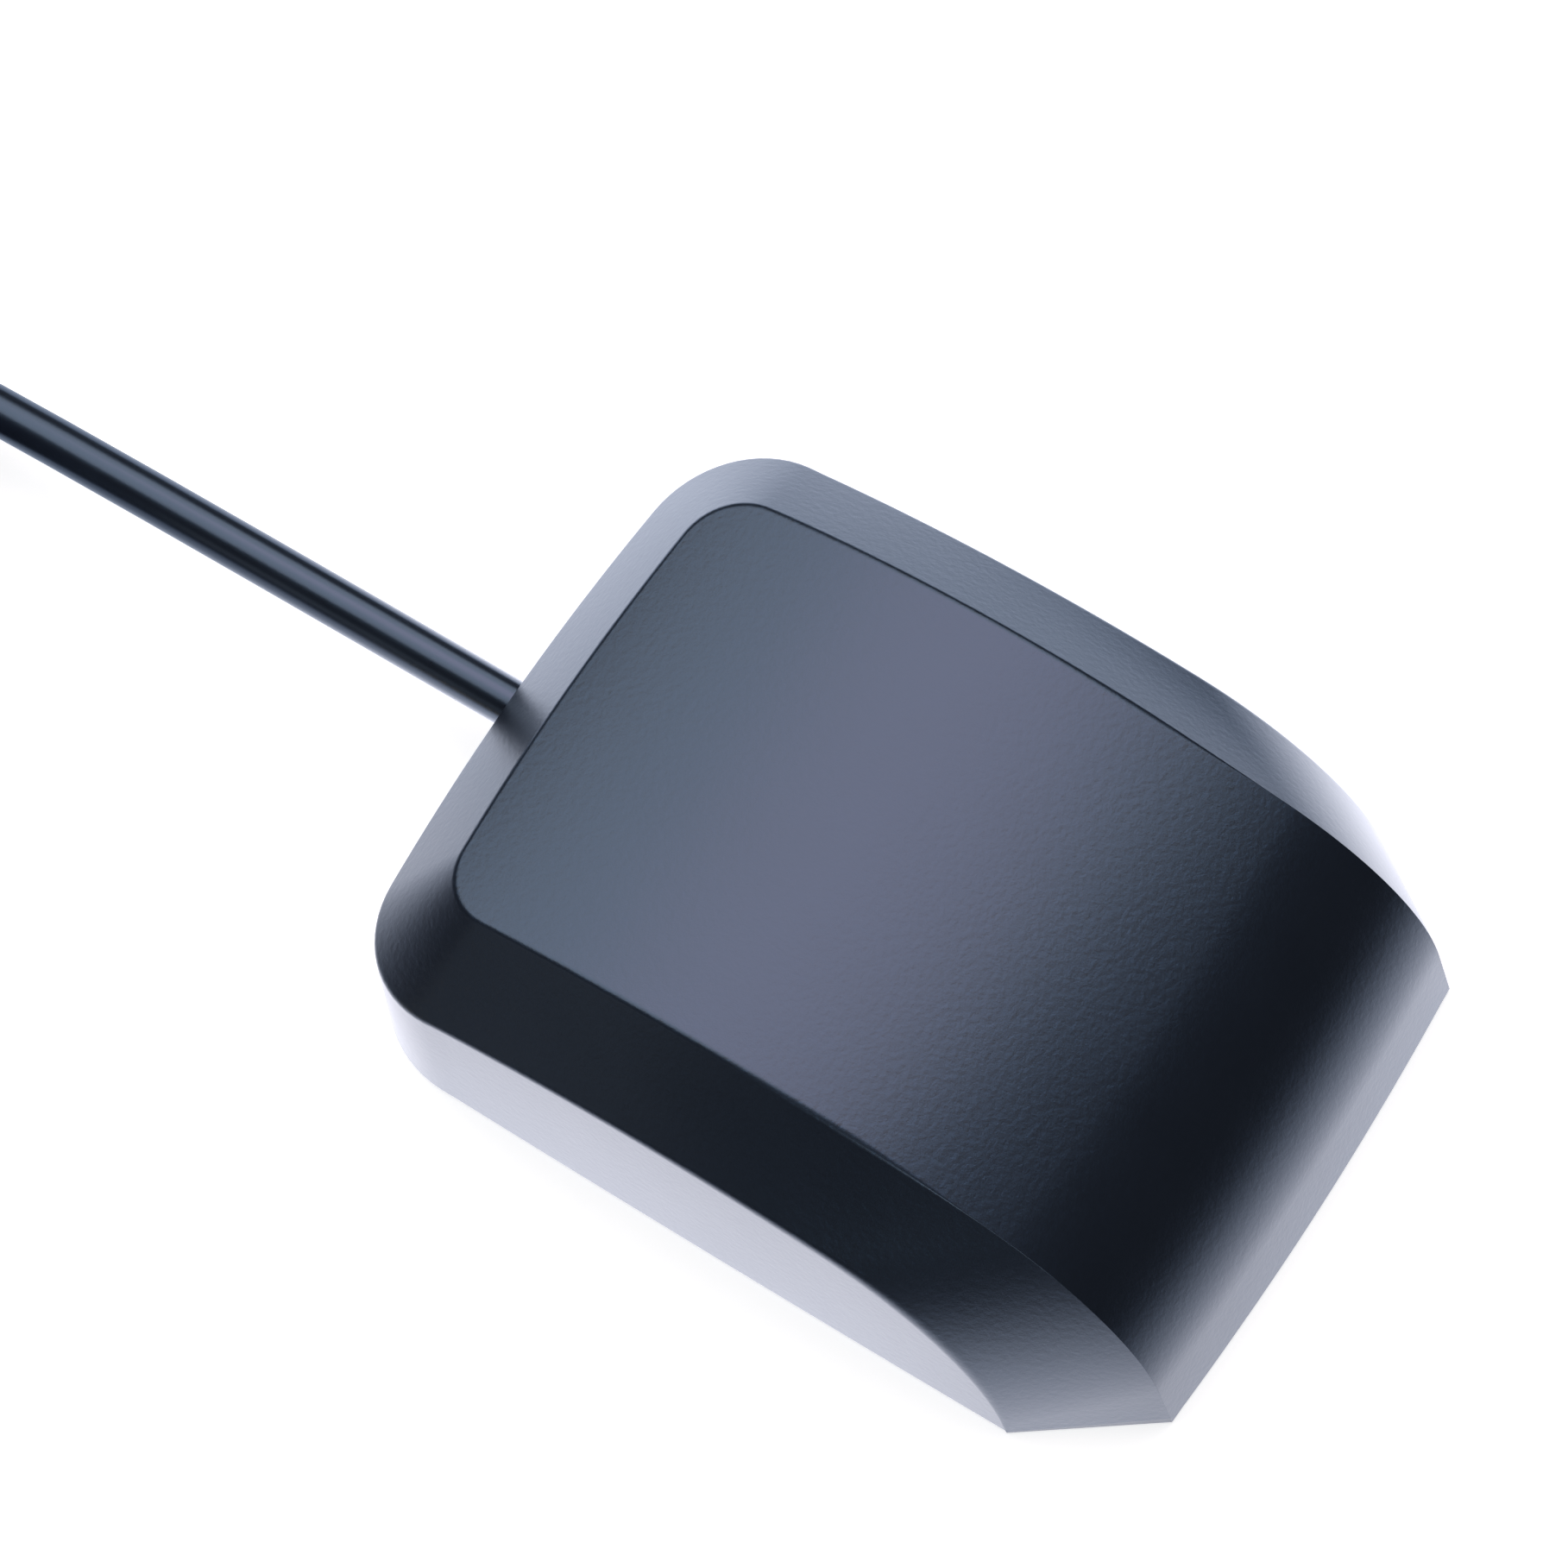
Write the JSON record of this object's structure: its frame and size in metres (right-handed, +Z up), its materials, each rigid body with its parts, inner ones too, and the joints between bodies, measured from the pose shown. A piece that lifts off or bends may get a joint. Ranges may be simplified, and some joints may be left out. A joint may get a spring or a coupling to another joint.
{
  "type": "gps antenna",
  "caption": "Low bevelled black housing with an arched top over a ceramic patch, held by magnets, with a thin coaxial cable ending in a push-on plug.",
  "frame": {"origin": "on the surface it stands on, under the middle of the housing", "axes": "+X towards the sloping nose, the cable leaves at -X, +Z up"},
  "size_m": [0.1276, 0.0641, 0.017],
  "materials": {
    "housing_plastic": "satin, finely textured",
    "pad_rubber": "smooth",
    "plate_steel": "zinc plated",
    "gasket_foam": "closed foam",
    "screw_steel": "zinc plated",
    "magnet_nickel": "nickel plated",
    "can_tin": "tinned",
    "board_laminate": "solder mask",
    "chip_black": "moulded",
    "tape_white": "adhesive tape",
    "electrode_silver": "fired silver",
    "patch_ceramic": "unglazed",
    "pin_plated": "tinned",
    "grommet_rubber": "matt",
    "saddle_nylon": "moulded",
    "strap_steel": "plain",
    "jacket_pvc": "satin",
    "braid_tinned": "woven",
    "insulation_white": "smooth",
    "core_copper": "bare copper",
    "plug_gold": "gold plated",
    "plug_ptfe": "smooth",
    "ferrule_nickel": "crimped",
    "boot_rubber": "matt"
  },
  "bodies": {
    "root": {"radome_shell": "housing_plastic", "base_pad": "pad_rubber", "base_plate": "plate_steel", "base_gasket": "gasket_foam", "base_screws": "screw_steel", "magnets": "magnet_nickel", "shield_can": "can_tin", "circuit_board": "board_laminate", "amplifier_chips": "chip_black", "patch_tape": "tape_white", "ground_electrode": "electrode_silver", "patch_ceramic": "patch_ceramic", "patch_electrode": "electrode_silver", "feed_pin": "pin_plated", "cable_grommet": "grommet_rubber", "cable_saddle": "saddle_nylon", "cable_strap": "strap_steel", "strap_screws": "screw_steel", "cable": "jacket_pvc", "cable_braid_end": "braid_tinned", "cable_insulation_end": "insulation_white", "cable_core_end": "core_copper", "cable_coil": "jacket_pvc", "cable_tail": "jacket_pvc", "plug_boot": "boot_rubber", "crimp_ferrule": "ferrule_nickel", "plug_body": "plug_gold", "plug_insulator": "plug_ptfe", "plug_pin": "plug_gold"}
  },
  "joints": []
}
